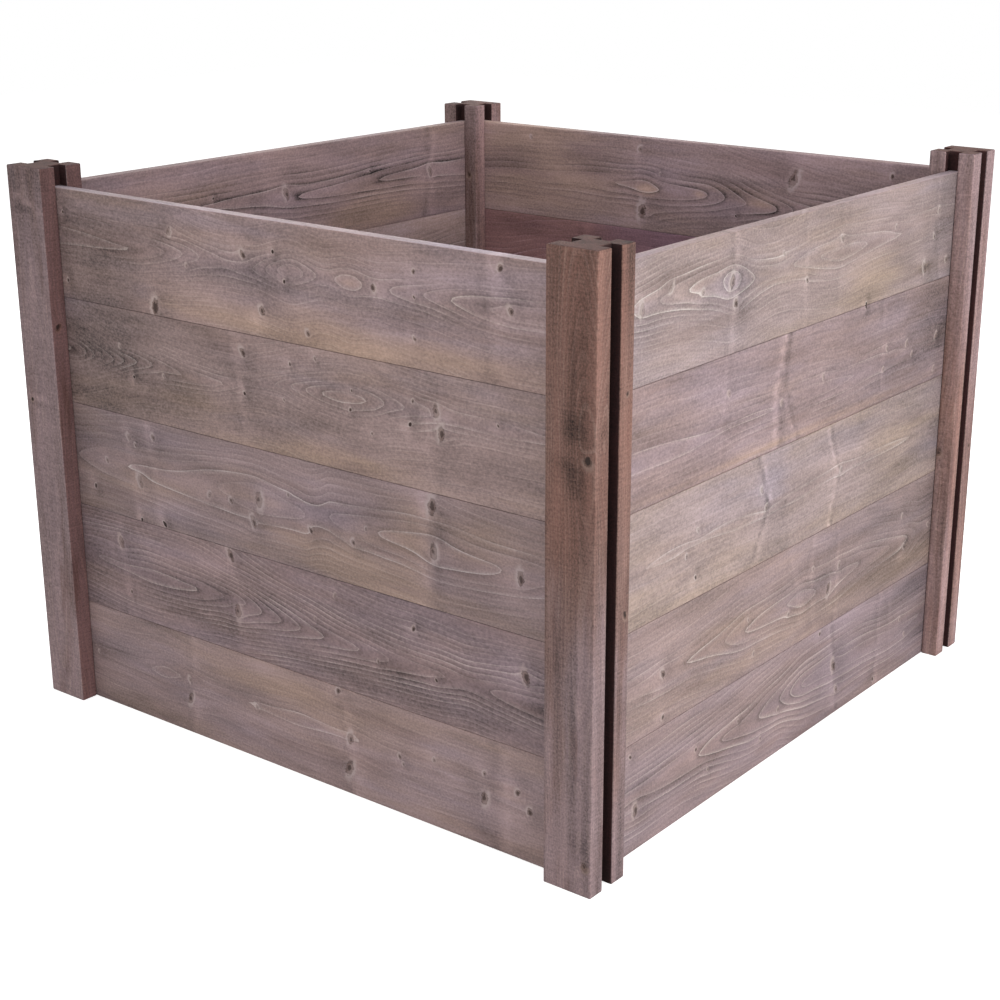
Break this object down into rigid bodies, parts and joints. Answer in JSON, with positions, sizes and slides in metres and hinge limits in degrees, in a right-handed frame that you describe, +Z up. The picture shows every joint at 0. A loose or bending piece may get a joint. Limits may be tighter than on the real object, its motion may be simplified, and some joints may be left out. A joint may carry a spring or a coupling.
{
  "type": "modular wooden compost bin",
  "caption": "Square open compost bin of stained softwood: grooved corner posts with boards that slide down between them, and empty outer grooves for adding modules.",
  "frame": {"origin": "on the ground, at the middle of the bin's square plan", "axes": "+Z up, +X to the right and -Y to the front"},
  "size_m": [0.99, 0.99, 0.778],
  "materials": {
    "post_wood": "rough sawn, stained",
    "board_wood": "planed, stained, knotty"
  },
  "bodies": {
    "posts": {"post_front_left": "post_wood", "post_front_right": "post_wood", "post_back_left": "post_wood", "post_back_right": "post_wood"},
    "front_board_1": {"front_board_1": "board_wood"},
    "front_board_2": {"front_board_2": "board_wood"},
    "front_board_3": {"front_board_3": "board_wood"},
    "front_board_4": {"front_board_4": "board_wood"},
    "front_board_5": {"front_board_5": "board_wood"},
    "right_board_1": {"right_board_1": "board_wood"},
    "right_board_2": {"right_board_2": "board_wood"},
    "right_board_3": {"right_board_3": "board_wood"},
    "right_board_4": {"right_board_4": "board_wood"},
    "right_board_5": {"right_board_5": "board_wood"},
    "back_board_1": {"back_board_1": "board_wood"},
    "back_board_2": {"back_board_2": "board_wood"},
    "back_board_3": {"back_board_3": "board_wood"},
    "back_board_4": {"back_board_4": "board_wood"},
    "back_board_5": {"back_board_5": "board_wood"},
    "left_board_1": {"left_board_1": "board_wood"},
    "left_board_2": {"left_board_2": "board_wood"},
    "left_board_3": {"left_board_3": "board_wood"},
    "left_board_4": {"left_board_4": "board_wood"},
    "left_board_5": {"left_board_5": "board_wood"}
  },
  "joints": [
    {"name": "front_board_1_lift", "type": "slide", "parent": "posts", "child": "front_board_1", "axis": [0, 0, 1], "range_m": [0, 0.78]},
    {"name": "front_board_2_lift", "type": "slide", "parent": "front_board_1", "child": "front_board_2", "axis": [0, 0, 1], "range_m": [0, 0.63]},
    {"name": "front_board_3_lift", "type": "slide", "parent": "front_board_2", "child": "front_board_3", "axis": [0, 0, 1], "range_m": [0, 0.48]},
    {"name": "front_board_4_lift", "type": "slide", "parent": "front_board_3", "child": "front_board_4", "axis": [0, 0, 1], "range_m": [0, 0.33]},
    {"name": "front_board_5_lift", "type": "slide", "parent": "front_board_4", "child": "front_board_5", "axis": [0, 0, 1], "range_m": [0, 0.18]},
    {"name": "right_board_1_lift", "type": "slide", "parent": "posts", "child": "right_board_1", "axis": [0, 0, 1], "range_m": [0, 0.78]},
    {"name": "right_board_2_lift", "type": "slide", "parent": "right_board_1", "child": "right_board_2", "axis": [0, 0, 1], "range_m": [0, 0.63]},
    {"name": "right_board_3_lift", "type": "slide", "parent": "right_board_2", "child": "right_board_3", "axis": [0, 0, 1], "range_m": [0, 0.48]},
    {"name": "right_board_4_lift", "type": "slide", "parent": "right_board_3", "child": "right_board_4", "axis": [0, 0, 1], "range_m": [0, 0.33]},
    {"name": "right_board_5_lift", "type": "slide", "parent": "right_board_4", "child": "right_board_5", "axis": [0, 0, 1], "range_m": [0, 0.18]},
    {"name": "back_board_1_lift", "type": "slide", "parent": "posts", "child": "back_board_1", "axis": [0, 0, 1], "range_m": [0, 0.78]},
    {"name": "back_board_2_lift", "type": "slide", "parent": "back_board_1", "child": "back_board_2", "axis": [0, 0, 1], "range_m": [0, 0.63]},
    {"name": "back_board_3_lift", "type": "slide", "parent": "back_board_2", "child": "back_board_3", "axis": [0, 0, 1], "range_m": [0, 0.48]},
    {"name": "back_board_4_lift", "type": "slide", "parent": "back_board_3", "child": "back_board_4", "axis": [0, 0, 1], "range_m": [0, 0.33]},
    {"name": "back_board_5_lift", "type": "slide", "parent": "back_board_4", "child": "back_board_5", "axis": [0, 0, 1], "range_m": [0, 0.18]},
    {"name": "left_board_1_lift", "type": "slide", "parent": "posts", "child": "left_board_1", "axis": [0, 0, 1], "range_m": [0, 0.78]},
    {"name": "left_board_2_lift", "type": "slide", "parent": "left_board_1", "child": "left_board_2", "axis": [0, 0, 1], "range_m": [0, 0.63]},
    {"name": "left_board_3_lift", "type": "slide", "parent": "left_board_2", "child": "left_board_3", "axis": [0, 0, 1], "range_m": [0, 0.48]},
    {"name": "left_board_4_lift", "type": "slide", "parent": "left_board_3", "child": "left_board_4", "axis": [0, 0, 1], "range_m": [0, 0.33]},
    {"name": "left_board_5_lift", "type": "slide", "parent": "left_board_4", "child": "left_board_5", "axis": [0, 0, 1], "range_m": [0, 0.18]}
  ]
}
